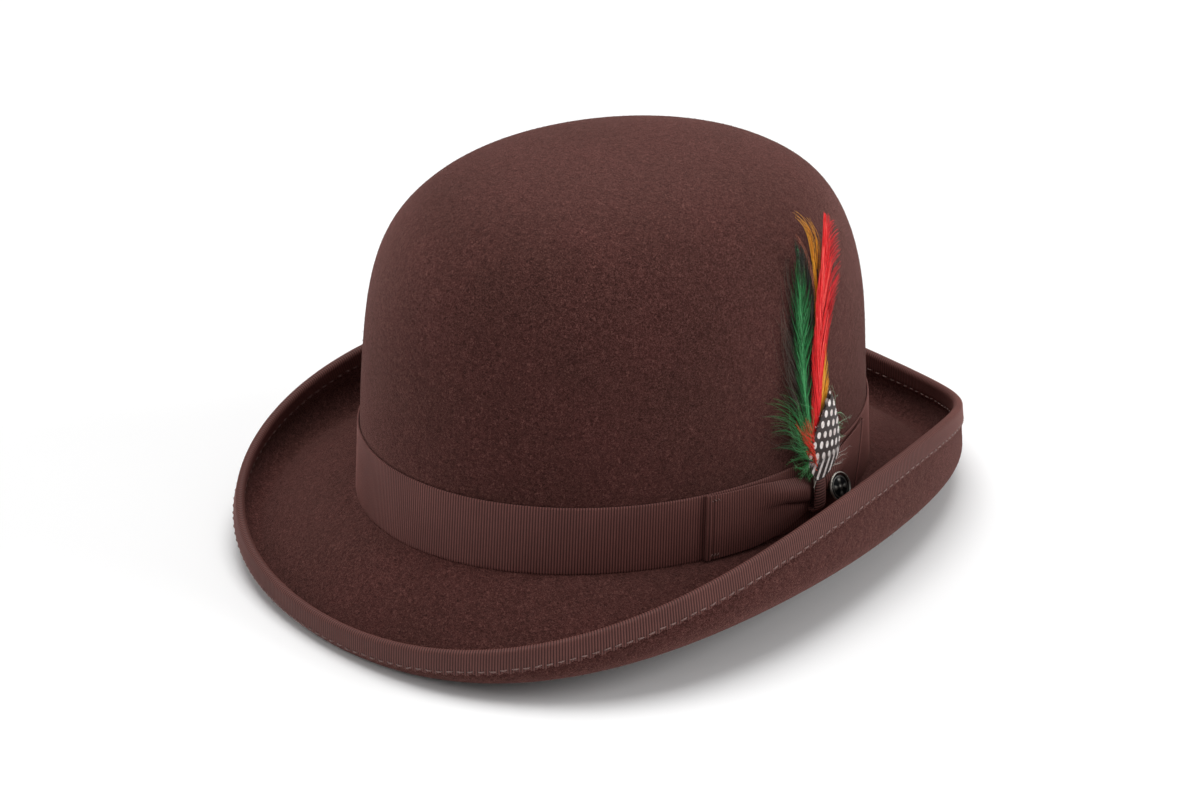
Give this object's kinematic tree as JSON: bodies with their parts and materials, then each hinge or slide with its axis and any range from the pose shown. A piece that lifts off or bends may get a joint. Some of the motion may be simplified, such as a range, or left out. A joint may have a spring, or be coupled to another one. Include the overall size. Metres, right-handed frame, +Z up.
{
  "type": "bowler hat",
  "caption": "Brown wool-felt bowler hat: domed crown, curled bound brim, grosgrain band with a flat side bow, metal button and feather spray.",
  "frame": {"origin": "on the table under the middle of the hat's bounding box, with the hat resting on its brim", "axes": "+X the wearer's left, +Y the back of the hat, +Z up through the crown"},
  "size_m": [0.2402, 0.2998, 0.1495],
  "materials": {
    "felt": "brushed wool felt with a fine short nap",
    "ribbon": "ribbed grosgrain ribbon",
    "thread": "sewing thread",
    "satin": "smooth satin",
    "sweatband_leather": "smooth thin leather",
    "pewter": "worn antique silver",
    "dark_metal": "blackened metal",
    "red_feather": "dyed feather barbs",
    "green_feather": "dyed feather barbs",
    "yellow_feather": "dyed feather barbs",
    "ginger_feather": "natural ginger feather barbs",
    "dark_feather": "dark olive feather barbs",
    "dotted_feather": "black feather with white dots",
    "green_down": "dyed down",
    "pale_green_down": "dyed down",
    "quill": "pale quills bound with thread"
  },
  "bodies": {
    "hat": {"felt_body": "felt", "brim_binding": "ribbon", "binding_seam_inner": "thread", "binding_seam_outer": "thread", "hat_band": "ribbon", "bow_front_wing": "ribbon", "bow_rear_wing": "ribbon", "bow_knot": "ribbon", "button_rim": "pewter", "button_face": "dark_metal", "button_shank": "pewter", "lining_side": "satin", "lining_tip": "satin", "lining_piping": "satin", "sweatband": "sweatband_leather", "sweatband_reed": "sweatband_leather", "sweatband_bow": "satin"},
    "feather_spray": {"ginger_hackle": "ginger_feather", "lime_wisp": "pale_green_down", "dark_hackle": "dark_feather", "red_hackle_rear": "red_feather", "green_hackle": "green_feather", "yellow_hackle": "yellow_feather", "red_hackle": "red_feather", "red_fluff": "red_feather", "guinea_feather": "dotted_feather", "green_fluff": "green_down", "spray_stem": "quill", "spray_wrap": "quill"}
  },
  "joints": [
    {"name": "feather_slide", "type": "slide", "parent": "hat", "child": "feather_spray", "axis": [0, 0, 1], "range_m": [0, 0.03]}
  ]
}
